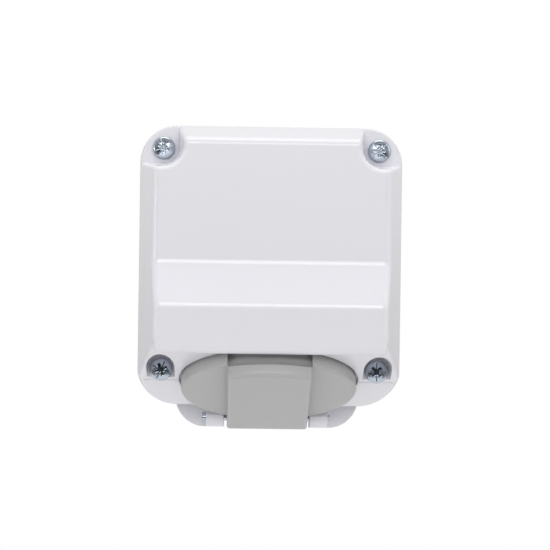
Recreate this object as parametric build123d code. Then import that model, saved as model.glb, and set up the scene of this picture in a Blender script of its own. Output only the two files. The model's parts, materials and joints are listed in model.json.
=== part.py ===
from build123d import *
import os
from math import cos, degrees, radians, sin, sqrt, tan

# Outdoor weatherproof wall socket: a back box and a hood, with a sprung round lid under the
# overhang that covers an earthed round outlet. Lengths are millimetres and angles are degrees.
# X is to the right seen from the front, Y runs into the wall and Z is up.
# The origin lies on the wall face, midway between the body's sides.

# Body
BODY_WIDTH = 92.0
BODY_RISE = 48.5  # top of the body above the origin
TOP_CORNER_R = 13.0
BOTTOM_CORNER_R = 13.6
BASE_DEPTH = 35.0  # wall face to the seam between box and hood
BACK_WALL = 3.0
BASE_WALL = 3.0
REAR_EDGE_R = 1.0

# Hood
COVER_WALL = 2.5
COVER_DRAFT = 10.5
PANEL_DEPTH = 64.5  # wall face to the upper front panel
CHIN_STEP = 5.5  # how far the chin stands out from the upper panel
CHIN_LEAN = 0.8  # how far the chin falls back towards its lower edge
RAMP_TOP = 0.5  # height of the ramp's upper crease
RAMP_HEIGHT = 14.1
CREASE_R = 6.0
FOOT_R = 3.0  # rounding between the chin and the underside
FRONT_EDGE_R = 2.5
LIP_DROP = 3.3  # how far the drip lip hangs below the underside at the chin
LIP_THICKNESS = 3.0
LIP_ROOT = 1.0  # how far the lip runs up past the chin's rounding
LIP_EDGE_R = 2.6
LIP_END_R = 2.4

# Hood screws and their scoops
SCREW_SIDE_INSET = 8.3  # screw to the body's side
SCREW_TOP_INSET = 8.0  # upper screws to the body's top
SCREW_EDGE = 0.5  # material below the lower screws' holes at the pad's face
SCREW_R = 2.0
SCREW_HEAD_R = 4.0
SCREW_HEAD_HEIGHT = 2.8
SCREW_HEAD_CROWN = 0.9  # how far the head's middle stands above its edge
SCREW_HEAD_EDGE_R = 1.1
SCREW_LENGTH = 25.0
SCREW_TURNS = (-25.0, 0.0, 20.0, 45.0)  # how each cross recess happens to lie
CROSS_LENGTH = 4.8
CROSS_WIDTH = 1.15
CROSS_DEPTH = 2.1
CROSS_DRAFT = 6.0
TICK_SPAN = 6.6  # fine marks between the arms of the cross
TICK_WIDTH = 0.35
TICK_DEPTH = 0.7
TICK_TURN = 45.0
PAD_THICKNESS = 3.0
SCOOP_R = 5.3  # corner scoops round the upper screws
SCOOP_DRAFT = 5.0
SCOOP_EDGE_R = 1.2
SLOT_R = 4.8  # slots round the lower screws
SLOT_RISE = 0.7  # slot's arch above its screw
SLOT_DRAFT = 1.0
SCOOP_WALL = 2.0
PILLAR_R = 4.5
PILLAR_SCREW_SPARE = 1.5  # hole left below the screw's tip
SCREW_CLEARANCE = 0.05
HOOD_HOLE_CLEARANCE = 0.15

# Seam
SEAM_GAP = 0.3  # shadow line between box and hood
SEAM_INSET = 0.8
GASKET_INSET = 1.5  # body's side to the gasket's rebate
GASKET_HEIGHT = 2.0
GASKET_CLEARANCE = 0.05

# Outlet axis and lid. Levels are counted along the axis from the lid's face, outwards.
OUTLET_TILT = 22.0  # from straight down, towards the viewer
OUTLET_DEPTH = 38.0  # wall face to the middle of the lid's face
OUTLET_DROP = 44.4  # origin to the middle of the lid's face
BODY_BELOW_LID = 6.1  # middle of the lid's face to the bottom of the body
LID_R = 30.6
LID_RIM = 5.3
LID_PLATE = 2.0
LID_WALL = 2.0
LID_EDGE_R = 0.9
LID_PROUD = 4.5  # how far the lid's face stands out of the underside
LID_SEAT_GAP = 0.6
LID_SIDE_GAP = 0.8
UNDER_WALL = 4.0
BAND_WIDTH = 28.8
BAND_RISE = 4.9
BAND_SETBACK = 0.1  # how far the thumb edge lies behind the lid's edge
BAND_FRONT_R = 39.0  # how gently the thumb edge is curved
BAND_TAIL = 27.5  # lid's axis to the band's rear end
BAND_EDGE_R = 1.6
BAND_CORNER_R = 1.6
THUMB_EDGE = 4.2  # thickness of the thumb edge
GRIP_R = 5.0  # groove behind the thumb edge
GRIP_DEPTH = 3.0
BAND_SKIN = 2.0

# Lid hinge
PIN_BACK = 31.0  # outlet axis to the pin
PIN_LEVEL = -1.0
PIN_R = 1.25
PIN_HEAD_R = 1.8
PIN_HEAD_HEIGHT = 1.5
PIN_END = 0.8
PIN_RUN_CLEARANCE = 0.06
PIN_SEAT_CLEARANCE = 0.02
KNUCKLE_R = 3.2
LUG_R = 3.4
LUG_WIDTH = 6.5
LUG_GAP = 1.1
SKIRT_THICKNESS = 4.5
SKIRT_WIDTH = 66.4
SKIRT_BELOW_PIN = 3.7
SKIRT_CORNER_R = 11.0
SKIRT_ROOT = 6.0  # how far the skirt runs up into the box
NOTCH_GAP = 1.0

# Lid spring
SPRING_WIRE_R = 0.4
SPRING_COIL_R = 2.2
SPRING_TURNS = 9.25  # the quarter turn brings each end out square to the other
SPRING_PITCH = 0.95
SPRING_WINDOW = 13.0
SPRING_WINDOW_TOP = 2.6
SPRING_LEG = 8.0
SPRING_END_R = 0.37  # straight ends, drawn a little thinner
SPRING_END_ROOT = 0.3  # how far each end runs into the coil
SPRING_HEEL_GAP = 0.3
SPRING_SLOT_GAP = 0.12

# Outlet mouldings
CUP_R = 23.5
CUP_ENTRY = 1.0  # how far the outlet's rim stands into the lid
CUP_RIM_R = 0.6
RECESS_R = 19.5
RECESS_DEPTH = 17.5
CUP_FLOOR = 3.2
RIB_WIDTH = 5.0
RIB_DEPTH = 2.3
RIB_TOP_GAP = 2.0
PIN_PITCH = 19.0
PIN_HOLE_R = 2.7
EAR_X = 29.0
EAR_RISE = 17.4  # middle of the lid's face to the ears' screws
EAR_R = 4.5
EAR_DEPTH = 29.0  # wall face to the boss that carries each ear
EAR_THICKNESS = 4.0
BOSS_R = 4.0
SOCKET_SCREW_R = 1.75
SOCKET_SCREW_HEAD_R = 3.4
SOCKET_SCREW_HEAD_HEIGHT = 2.2
SOCKET_SCREW_CROWN = 0.6
SOCKET_SCREW_EDGE_R = 0.8
SOCKET_SCREW_LENGTH = 16.0
SOCKET_SCREW_SPARE = 1.5
EAR_CLEARANCE = 0.2
CARRIER_R = 19.0
CARRIER_LENGTH = 13.0

# Seals
COLLAR_SEAL_THICKNESS = 1.6
COLLAR_FLANGE = 2.2
COLLAR_FLANGE_THICKNESS = 1.7
SEAL_CLEARANCE = 0.1
LID_SEAL_WIDTH = 4.0
LID_SEAL_OVERHANG = 1.0  # how far the ring reaches outside the outlet's rim
LID_SEAL_GAP = 0.1

# Contacts
SLEEVE_R = 3.4
SLEEVE_BORE_R = 2.35
SLEEVE_SLIT = 0.9
SLEEVE_POCKET_GAP = 0.5
SHUTTER_ROOM = 2.6
SLEEVE_START_GAP = 0.5
BLOCK_WIDTH = 7.6
BLOCK_SPAN = 9.0
BLOCK_HEIGHT = 9.0
WIRE_HOLE_R = 1.7
WIRE_HOLE_DEPTH = 7.2
WIRE_HOLE_BACK = 1.0
CLAMP_R = 1.45
CLAMP_CLEARANCE = 0.05
CLAMP_LENGTH = 3.5
CLAMP_HEAD_R = 2.6
CLAMP_HEAD_HEIGHT = 1.8
CLAMP_SLOT = 0.7
CLAMP_SLOT_DEPTH = 0.9
EARTH_THICKNESS = 1.0
EARTH_WIDTH = 6.0
EARTH_GAP = 0.3
EARTH_BEND = 1.7
EARTH_FLARE = 1.3  # how far the clip springs back towards its end
EARTH_GROOVE_GAP = 0.4

# Centre screw, shutter and its spring
CENTRE_R = 1.45
CENTRE_HEAD_R = 2.8
CENTRE_HEAD_HEIGHT = 1.6
CENTRE_CROWN = 0.2
CENTRE_EDGE_R = 0.4
CENTRE_LENGTH = 12.0
CENTRE_CLEARANCE = 0.05
CENTRE_HOLE_CLEARANCE = 0.15
POST_R = 3.0
POST_CLEARANCE = 0.08
SHUTTER_R = 14.0
SHUTTER_CLEARANCE = 0.5
SHUTTER_FACE_GAP = 0.25
SHUTTER_TURN = 40.0
WINDOW_R = 3.2
SHUTTER_WIRE_R = 0.25
SHUTTER_COIL_R = 4.2
SHUTTER_COIL_TURNS = 2
SHUTTER_COIL_PITCH = 0.62
SHUTTER_COIL_ROOM = 2.0
SHUTTER_COIL_SIDE = 0.9
SHUTTER_TANG = 1.6  # bent ends that sit in the carrier and in the shutter
SHUTTER_TANG_R = 0.22
SHUTTER_TANG_GAP = 0.18

# Wall fixing and cable entry
WALL_HOLE_R = 2.4
WALL_HOLE_SPACING_X = 60.0
WALL_HOLE_SPACING_Z = 40.0
WALL_HOLE_CENTRE_Z = 12.0
WALL_BOSS_R = 5.0
WALL_BOSS_HEIGHT = 3.0
ENTRY_Z = 28.0
ENTRY_R = 10.0
GROMMET_FLANGE = 2.5
GROMMET_FLANGE_THICKNESS = 1.6
GROMMET_WALL = 1.4
GROMMET_CONE_R = 4.0
GROMMET_TIP_R = 2.0
GROMMET_CONE_HEIGHT = 6.0
GROMMET_SEAT = 0.5  # how far the membrane lies inside the wall face
GROMMET_CLEARANCE = 0.1
KNOCKOUT_R = 10.2
KNOCKOUT_GROOVE = 1.0
KNOCKOUT_DEPTH = 0.8

# Places worked out from the driving dimensions
TILT_SIN = sin(radians(OUTLET_TILT))
TILT_COS = cos(radians(OUTLET_TILT))
BODY_DROP = OUTLET_DROP + BODY_BELOW_LID
EAR_Z = EAR_RISE - OUTLET_DROP
CHIN_DEPTH = PANEL_DEPTH + CHIN_STEP
FOOT_DEPTH = CHIN_DEPTH - CHIN_LEAN
RAMP_BOTTOM = RAMP_TOP - RAMP_HEIGHT
HOOD_LENGTH = CHIN_DEPTH + COVER_WALL - BASE_DEPTH  # reaches just past the chin
PAD_DEPTH = BASE_DEPTH + PAD_THICKNESS
UNDER_LEVEL = -LID_PROUD
UNDER_INNER_LEVEL = UNDER_LEVEL - UNDER_WALL
POCKET_LEVEL = -LID_RIM - LID_SEAT_GAP
RIM_LEVEL = -LID_RIM + CUP_ENTRY
FLOOR_LEVEL = RIM_LEVEL - RECESS_DEPTH
CUP_BACK_LEVEL = FLOOR_LEVEL - CUP_FLOOR
CARRIER_BACK_LEVEL = CUP_BACK_LEVEL - CARRIER_LENGTH
SHUTTER_ROOM_LEVEL = CUP_BACK_LEVEL - SHUTTER_ROOM
COLLAR_HOLE_R = CUP_R + COLLAR_SEAL_THICKNESS + 2 * SEAL_CLEARANCE
LID_SEAL_OUTER_R = CUP_R + LID_SEAL_OVERHANG
LID_SEAL_INNER_R = LID_SEAL_OUTER_R - LID_SEAL_WIDTH
EARTH_INNER = CARRIER_R + EARTH_GAP
EARTH_OUTER = EARTH_INNER + EARTH_THICKNESS
EARTH_BRIDGE_LEVEL = CARRIER_BACK_LEVEL - EARTH_THICKNESS
BAND_FRONT = LID_R - BAND_SETBACK
BAND_HALF = BAND_WIDTH / 2
LUG_INNER = BAND_HALF + LUG_GAP
LUG_OUTER = LUG_INNER + LUG_WIDTH
FAR = 2 * (BODY_WIDTH + BODY_RISE + BODY_DROP)  # beyond every piece, for cutting tools

OUTLET = Plane(
    origin=(0, -OUTLET_DEPTH, -OUTLET_DROP),
    x_dir=(1, 0, 0),
    z_dir=(0, -TILT_SIN, -TILT_COS),
)
OUTLET_AXIS = Axis(OUTLET.origin, OUTLET.z_dir)
OUTLET_SIDE = Plane(origin=OUTLET.origin, x_dir=OUTLET.y_dir, z_dir=(1, 0, 0))
PIN_PLACE = OUTLET_SIDE.from_local_coords((-PIN_BACK, PIN_LEVEL, 0))
SKIRT_BOTTOM = PIN_PLACE.Z - SKIRT_BELOW_PIN
PAD_FOOT = -OUTLET_DROP + ((PAD_DEPTH - OUTLET_DEPTH) * TILT_SIN - UNDER_LEVEL) / TILT_COS
SCREW_X = BODY_WIDTH / 2 - SCREW_SIDE_INSET
SCREW_UPPER_Z = BODY_RISE - SCREW_TOP_INSET
SCREW_LOWER_Z = PAD_FOOT + SCREW_EDGE + SCREW_R + HOOD_HOLE_CLEARANCE
UPPER_SCREWS = [(-SCREW_X, SCREW_UPPER_Z), (SCREW_X, SCREW_UPPER_Z)]
LOWER_SCREWS = [(-SCREW_X, SCREW_LOWER_Z), (SCREW_X, SCREW_LOWER_Z)]
SCREW_PLACES = UPPER_SCREWS + LOWER_SCREWS


def wall_plane(depth):
    """Plane parallel to the wall, facing the viewer, at a distance from the wall."""
    return Plane.XZ.offset(depth)


def wall_rod(x, z, radius, near, far):
    """Round bar square to the wall, between two distances from it."""
    return extrude(wall_plane(near) * Pos(x, z) * Circle(radius), far - near)


def wall_box(x_low, x_high, near, far, z_low, z_high):
    """Box between two distances from the wall."""
    size = (x_high - x_low, far - near, z_high - z_low)
    centre = ((x_low + x_high) / 2, -(near + far) / 2, (z_low + z_high) / 2)
    return Pos(*centre) * Box(*size)


def axis_disc(radius, low, high, across=0.0, forward=0.0):
    """Round bar along the outlet's axis, between two levels."""
    return extrude(OUTLET.offset(low) * Pos(across, forward) * Circle(radius), high - low)


def axis_box(x_low, x_high, rear, front, low, high):
    """Box set square to the outlet's axis, between two levels."""
    face = Pos((x_low + x_high) / 2, (rear + front) / 2) * Rectangle(x_high - x_low, front - rear)
    return extrude(OUTLET.offset(low) * face, high - low)


def side_slab(face, x_low, x_high):
    """A side-view face of the outlet, given thickness between two places across."""
    return extrude(OUTLET_SIDE.offset(x_low) * face, x_high - x_low)


def pin_disc(radius, x_low, x_high):
    """Round bar on the hinge pin's axis."""
    return side_slab(Pos(-PIN_BACK, PIN_LEVEL) * Circle(radius), x_low, x_high)


def both_sides(shape):
    """A shape and its mirror image across the body's middle."""
    return shape + mirror(shape, about=Plane.YZ)


def under_height(depth, level):
    """Height of a plane square to the outlet's axis, at a distance from the wall."""
    return -OUTLET_DROP + ((depth - OUTLET_DEPTH) * TILT_SIN - level) / TILT_COS


def body_outline(inset):
    """The body's front view, drawn in by an inset."""
    height = BODY_RISE + BODY_DROP
    sheet = Pos(0, BODY_RISE - height / 2) * Rectangle(BODY_WIDTH - 2 * inset, height - 2 * inset)
    sheet = fillet(sheet.vertices().group_by(Axis.Y)[-1], TOP_CORNER_R - inset)
    return fillet(sheet.vertices().group_by(Axis.Y)[0], BOTTOM_CORNER_R - inset)


def hood_outline(inset):
    """The hood's front view, drawn in by an inset and run on below its underside."""
    height = BODY_RISE + 2 * BODY_DROP
    sheet = Pos(0, BODY_RISE - height / 2) * Rectangle(BODY_WIDTH - 2 * inset, height - 2 * inset)
    return fillet(sheet.vertices().group_by(Axis.Y)[-1], TOP_CORNER_R - inset)


def chin_depth(z):
    """Distance from the wall to the chin's plane at a height."""
    foot_z = under_height(FOOT_DEPTH, UNDER_LEVEL)
    return CHIN_DEPTH - CHIN_LEAN * (RAMP_BOTTOM - z) / (RAMP_BOTTOM - foot_z)


def body_side(front_inset, level):
    """Everything behind the hood's front and above its underside, right across the body."""
    panel = PANEL_DEPTH - front_inset
    chin = CHIN_DEPTH - front_inset
    foot = FOOT_DEPTH - front_inset
    upper_crease = (-panel, RAMP_TOP)
    lower_crease = (-chin, RAMP_BOTTOM)
    toe = (-foot, under_height(foot, level))
    heel = (0, under_height(0, level))
    outline = Polyline((0, FAR), (-panel, FAR), upper_crease, lower_crease, toe, heel, close=True)
    face = make_face(outline)
    for corner, radius in ((upper_crease, CREASE_R), (lower_crease, CREASE_R), (toe, FOOT_R)):
        face = fillet(face.vertices().sort_by_distance((*corner, 0))[0], radius)
    return extrude(Plane.YZ * face, BODY_WIDTH, both=True)


def drawn_faces(solid, axis):
    """The faces of a drawn-out solid, without its two flat ends."""
    end_cosine = 0.9
    return [face for face in solid.faces() if abs(face.normal_at().dot(axis.direction)) < end_cosine]


def shared_edges(block, first, second):
    """Edges of a block that lie where two sets of faces cross."""
    near = 1e-3
    chosen = []
    for edge in block.edges():
        middle = edge.position_at(0.5)
        on_first = min(face.distance_to(middle) for face in first) < near
        on_second = min(face.distance_to(middle) for face in second) < near
        if on_first and on_second:
            chosen.append(edge)
    return chosen


def seam_line():
    """Narrow groove round the hood's rear edge, which shows as a shadow line."""
    rim = wall_box(-FAR, FAR, BASE_DEPTH, BASE_DEPTH + SEAM_GAP, -FAR, FAR)
    seat = extrude(wall_plane(BASE_DEPTH) * hood_outline(SEAM_INSET), SEAM_GAP)
    return rim - (seat & body_side(0, UNDER_LEVEL - SEAM_INSET))


def drip_lip():
    """Rib along the chin's lower edge, which hangs in front of the lid."""
    foot_z = under_height(FOOT_DEPTH, UNDER_LEVEL)
    bottom = foot_z - LIP_DROP
    top = foot_z + FOOT_R + LIP_ROOT
    front = (-chin_depth(bottom), bottom)
    back = -FOOT_DEPTH + LIP_THICKNESS
    face = make_face(Polyline(front, (-chin_depth(top), top), (back, top), (back, bottom), close=True))
    face = fillet(face.vertices().sort_by_distance((*front, 0))[0], LIP_EDGE_R)
    half = BODY_WIDTH / 2 - (FOOT_DEPTH - BASE_DEPTH) * tan(radians(COVER_DRAFT))
    lip = extrude(Plane.YZ * face, half, both=True)
    hidden = lip.faces().sort_by(Axis.Z)[-1].edges() + lip.faces().sort_by(Axis.Y)[-1].edges()
    ends = [edge for end in lip.faces().filter_by(Axis.X) for edge in end.edges() if edge not in hidden]
    return fillet(ends, LIP_END_R)


def scoop(x, z, radius, near, draft):
    """Corner scoop round an upper screw, open to the top and to the side."""
    side = 1 if x > 0 else -1
    face = Pos(-radius, -radius) * Rectangle(FAR, FAR, align=(Align.MIN, Align.MIN))
    corner = face.vertices().sort_by_distance((-radius, -radius, 0))[0]
    face = fillet(corner, radius)
    if side < 0:
        face = mirror(face, about=Plane.YZ)
    return extrude(wall_plane(near) * Pos(x, z) * face, FAR, taper=-draft)


def slot(x, z, radius, near, draft):
    """Round-topped slot round a lower screw, open downwards."""
    drop = Rectangle(2 * radius, FAR, align=(Align.CENTER, Align.MAX))
    face = Circle(radius) + drop
    return extrude(wall_plane(near) * Pos(x, z) * face, FAR, taper=-draft)


def upper_scoops(growth, near):
    """The two corner scoops, grown by a wall."""
    return [scoop(x, z, SCOOP_R + growth, near, SCOOP_DRAFT) for x, z in UPPER_SCREWS]


def lower_slots(growth, near):
    """The two lower slots, grown by a wall."""
    return [slot(x, z + SLOT_RISE, SLOT_R + growth, near, SLOT_DRAFT) for x, z in LOWER_SCREWS]


def lid_room():
    """The shallow round seat and swing room that the lid needs in the underside."""
    return axis_disc(LID_R + LID_SIDE_GAP, POCKET_LEVEL, POCKET_LEVEL + FAR)


def band_sheet(side_gap, front_gap):
    """The front half of the lid's band seen along the axis, grown by two gaps."""
    radius = BAND_FRONT_R + front_gap
    reach = Pos(0, BAND_FRONT - BAND_FRONT_R) * Circle(radius)
    return reach & Rectangle(BAND_WIDTH + 2 * side_gap, FAR, align=(Align.CENTER, Align.MIN))


def band_room():
    """Swing room for the lid's thumb edge."""
    return extrude(OUTLET.offset(POCKET_LEVEL) * band_sheet(LID_SIDE_GAP, LID_SIDE_GAP), FAR)


def grip_groove():
    """Round groove behind the lid's thumb edge, which gives fingers a hold."""
    half_mouth = sqrt(GRIP_R**2 - (GRIP_R - GRIP_DEPTH) ** 2)
    centre = (BAND_FRONT - GRIP_DEPTH + GRIP_R, BAND_RISE - THUMB_EDGE - half_mouth)
    bend = Axis(OUTLET.from_local_coords((0, BAND_FRONT - BAND_FRONT_R, 0)), OUTLET.z_dir)
    ring = revolve(OUTLET_SIDE * Pos(*centre) * Circle(GRIP_R), bend)
    return ring & axis_box(-BAND_HALF, BAND_HALF, 0, FAR, -FAR, FAR)


def collar_hole():
    """The round hole that the outlet's neck comes through."""
    return axis_disc(COLLAR_HOLE_R, UNDER_INNER_LEVEL - UNDER_WALL, 0)


def make_cover():
    """Hood: drafted shell with a stepped front, screw scoops and a drip lip over the lid."""
    shape = extrude(wall_plane(BASE_DEPTH) * hood_outline(0), HOOD_LENGTH, taper=COVER_DRAFT)
    side = body_side(0, UNDER_LEVEL)
    hood = shape & side
    rounded = shared_edges(hood, drawn_faces(shape, Axis.Y), drawn_faces(side, Axis.X))
    hood = fillet(rounded, FRONT_EDGE_R)
    for pocket in upper_scoops(0, PAD_DEPTH):
        rim = shared_edges(hood - pocket, drawn_faces(pocket, Axis.Y), hood.faces())
        hood = fillet(rim, SCOOP_EDGE_R)
    hood += drip_lip()
    inner = extrude(wall_plane(BASE_DEPTH) * hood_outline(COVER_WALL), HOOD_LENGTH, taper=COVER_DRAFT)
    cavity = inner & body_side(COVER_WALL, UNDER_INNER_LEVEL)
    for pocket in upper_scoops(SCOOP_WALL, BASE_DEPTH) + lower_slots(SCOOP_WALL, BASE_DEPTH):
        cavity -= pocket
    hood -= cavity
    for pocket in lower_slots(0, PAD_DEPTH):
        hood -= pocket
    for x, z in SCREW_PLACES:
        hood -= wall_rod(x, z, SCREW_R + HOOD_HOLE_CLEARANCE, BASE_DEPTH, PAD_DEPTH)
    return hood - lid_room() - band_room() - collar_hole() - seam_line()


def lug():
    """Hinge lug on the right of the band, standing out from the skirt."""
    depth = -PIN_PLACE.Y
    arm = wall_box(LUG_INNER, LUG_OUTER, 0, depth, PIN_PLACE.Z - LUG_R, PIN_PLACE.Z + LUG_R)
    return arm + pin_disc(LUG_R, LUG_INNER, LUG_OUTER)


def make_skirt():
    """Plate below the box that carries the hinge lugs, notched for the lid's knuckle."""
    top = -BODY_DROP + SKIRT_ROOT
    height = top - SKIRT_BOTTOM
    face = Pos(0, SKIRT_BOTTOM) * Rectangle(SKIRT_WIDTH, height, align=(Align.CENTER, Align.MIN))
    face = fillet(face.vertices().group_by(Axis.Y)[0], SKIRT_CORNER_R)
    notch = Pos(0, -BODY_DROP) * Rectangle(
        BAND_WIDTH + 2 * NOTCH_GAP, height, align=(Align.CENTER, Align.MAX)
    )
    plate = extrude(Plane.XZ * (face - notch), SKIRT_THICKNESS)
    return plate + both_sides(lug())


def gasket_ring(clearance):
    """Strip in the seam along the top and both sides, clear of the underside."""
    ring = body_outline(GASKET_INSET + clearance) - body_outline(BASE_WALL - clearance)
    strip = extrude(wall_plane(BASE_DEPTH - GASKET_HEIGHT) * ring, GASKET_HEIGHT)
    foot = under_height(BASE_DEPTH - GASKET_HEIGHT, UNDER_INNER_LEVEL) + clearance
    return strip & wall_box(-FAR, FAR, 0, FAR, foot, FAR)


def make_base():
    """Back box: tray with pillars, outlet bosses, cable entry and the hinge skirt."""
    tray = extrude(Plane.XZ * body_outline(0), BASE_DEPTH)
    tray = fillet(tray.faces().sort_by(Axis.Y)[-1].edges(), REAR_EDGE_R)
    underside = body_side(0, UNDER_LEVEL)
    shell = tray & underside
    lower_edges = shared_edges(shell, drawn_faces(tray, Axis.Y), drawn_faces(underside, Axis.X))
    shell = fillet(lower_edges, FRONT_EDGE_R)
    outside = shell
    inner = extrude(wall_plane(BACK_WALL) * body_outline(BASE_WALL), BASE_DEPTH)
    shell -= inner & body_side(0, UNDER_INNER_LEVEL)
    for x, z in SCREW_PLACES:
        outward = BODY_WIDTH if x > 0 else -BODY_WIDTH
        pillar = wall_rod(x, z, PILLAR_R, BACK_WALL, BASE_DEPTH)
        web = wall_box(
            min(x, outward), max(x, outward), BACK_WALL, BASE_DEPTH, z - PILLAR_R / 2, z + PILLAR_R / 2
        )
        shell += (pillar + web) & outside
    for x in (-EAR_X, EAR_X):
        shell += wall_rod(x, EAR_Z, BOSS_R, BACK_WALL, EAR_DEPTH)
    for x, z in wall_hole_places():
        shell += wall_rod(x, z, WALL_BOSS_R, BACK_WALL, BACK_WALL + WALL_BOSS_HEIGHT)
    shell += make_skirt()
    hole_foot = PAD_DEPTH - SCREW_LENGTH - PILLAR_SCREW_SPARE
    for x, z in SCREW_PLACES:
        shell -= wall_rod(x, z, SCREW_R + SCREW_CLEARANCE, hole_foot, BASE_DEPTH)
    boss_foot = EAR_DEPTH + EAR_THICKNESS - SOCKET_SCREW_LENGTH - SOCKET_SCREW_SPARE
    for x in (-EAR_X, EAR_X):
        shell -= wall_rod(x, EAR_Z, SOCKET_SCREW_R + SCREW_CLEARANCE, boss_foot, EAR_DEPTH)
    for x, z in wall_hole_places():
        shell -= wall_rod(x, z, WALL_HOLE_R, 0, BACK_WALL + WALL_BOSS_HEIGHT)
    shell -= wall_rod(0, ENTRY_Z, ENTRY_R, 0, BACK_WALL)
    knockout = Circle(KNOCKOUT_R) - Circle(KNOCKOUT_R - KNOCKOUT_GROOVE)
    top_place = Plane.XY.offset(BODY_RISE) * Pos(0, -BASE_DEPTH / 2)
    shell -= extrude(top_place * knockout, -KNOCKOUT_DEPTH)
    shell -= pin_disc(PIN_R + PIN_SEAT_CLEARANCE, -FAR, FAR)
    shell -= gasket_ring(0)
    return shell - lid_room() - collar_hole()


def wall_hole_places():
    """Centres of the four wall fixing holes."""
    return [
        (side * WALL_HOLE_SPACING_X / 2, WALL_HOLE_CENTRE_Z + end * WALL_HOLE_SPACING_Z / 2)
        for side in (-1, 1)
        for end in (-1, 1)
    ]


def cross_recess(head_top):
    """Tapered cross driven into a screw's head, cut from its top."""
    bar = Rectangle(CROSS_LENGTH, CROSS_WIDTH) + Rectangle(CROSS_WIDTH, CROSS_LENGTH)
    bar += Rectangle(2 * CROSS_WIDTH, 2 * CROSS_WIDTH)
    return extrude(Plane.XY.offset(head_top) * bar, -CROSS_DEPTH, taper=CROSS_DRAFT)


def tick_marks(head_top):
    """Fine grooves between the arms of the cross."""
    bar = Rectangle(TICK_SPAN, TICK_WIDTH)
    marks = Rot(0, 0, TICK_TURN) * bar + Rot(0, 0, -TICK_TURN) * bar
    return extrude(Plane.XY.offset(head_top) * marks, -TICK_DEPTH)


def pan_screw(radius, length, head_radius, head_height, crown, edge_radius):
    """Pan-head screw along Z, with its head's seat at zero."""
    shoulder = (head_radius, head_height - crown)
    crown_radius = (head_radius**2 + crown**2) / (2 * crown)
    half_way = head_radius / 2
    middle = (half_way, head_height - crown_radius + sqrt(crown_radius**2 - half_way**2))
    side = Polyline((0, head_height), (0, 0), (head_radius, 0), shoulder)
    face = make_face(side + ThreePointArc(shoulder, middle, (0, head_height)))
    face = fillet(face.vertices().sort_by_distance((*shoulder, 0))[0], edge_radius)
    head = revolve(Plane.XZ * face, Axis.Z)
    return head - cross_recess(head_height) + extrude(Circle(radius), -length)


def make_cover_screws():
    """The four screws that hold the hood on."""
    screw = pan_screw(
        SCREW_R,
        SCREW_LENGTH,
        SCREW_HEAD_R,
        SCREW_HEAD_HEIGHT,
        SCREW_HEAD_CROWN,
        SCREW_HEAD_EDGE_R,
    )
    screw -= tick_marks(SCREW_HEAD_HEIGHT)
    seat = wall_plane(PAD_DEPTH)
    placed = [
        seat * Pos(x, z) * Rot(0, 0, turn) * screw for (x, z), turn in zip(SCREW_PLACES, SCREW_TURNS)
    ]
    return Compound(children=placed)


def make_socket_screws():
    """The two screws that hold the outlet in the box."""
    screw = pan_screw(
        SOCKET_SCREW_R,
        SOCKET_SCREW_LENGTH,
        SOCKET_SCREW_HEAD_R,
        SOCKET_SCREW_HEAD_HEIGHT,
        SOCKET_SCREW_CROWN,
        SOCKET_SCREW_EDGE_R,
    )
    seat = wall_plane(EAR_DEPTH + EAR_THICKNESS)
    return Compound(children=[seat * Pos(x, EAR_Z) * screw for x in (-EAR_X, EAR_X)])


def make_grommet():
    """Rubber membrane in the rear cable entry, with a cone that is cut to the cable."""
    neck = ENTRY_R - GROMMET_CLEARANCE
    flange = ENTRY_R + GROMMET_FLANGE
    body = wall_rod(0, ENTRY_Z, neck, GROMMET_SEAT, BACK_WALL)
    body += wall_rod(0, ENTRY_Z, flange, BACK_WALL, BACK_WALL + GROMMET_FLANGE_THICKNESS)
    hollow = neck - GROMMET_WALL
    membrane = GROMMET_SEAT + GROMMET_WALL
    body -= wall_rod(0, ENTRY_Z, hollow, membrane, BACK_WALL + GROMMET_FLANGE_THICKNESS)
    place = wall_plane(GROMMET_SEAT) * Pos(0, ENTRY_Z)
    return body + place * Cone(
        GROMMET_CONE_R,
        GROMMET_TIP_R,
        GROMMET_CONE_HEIGHT,
        align=(Align.CENTER, Align.CENTER, Align.MIN),
    )


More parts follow.
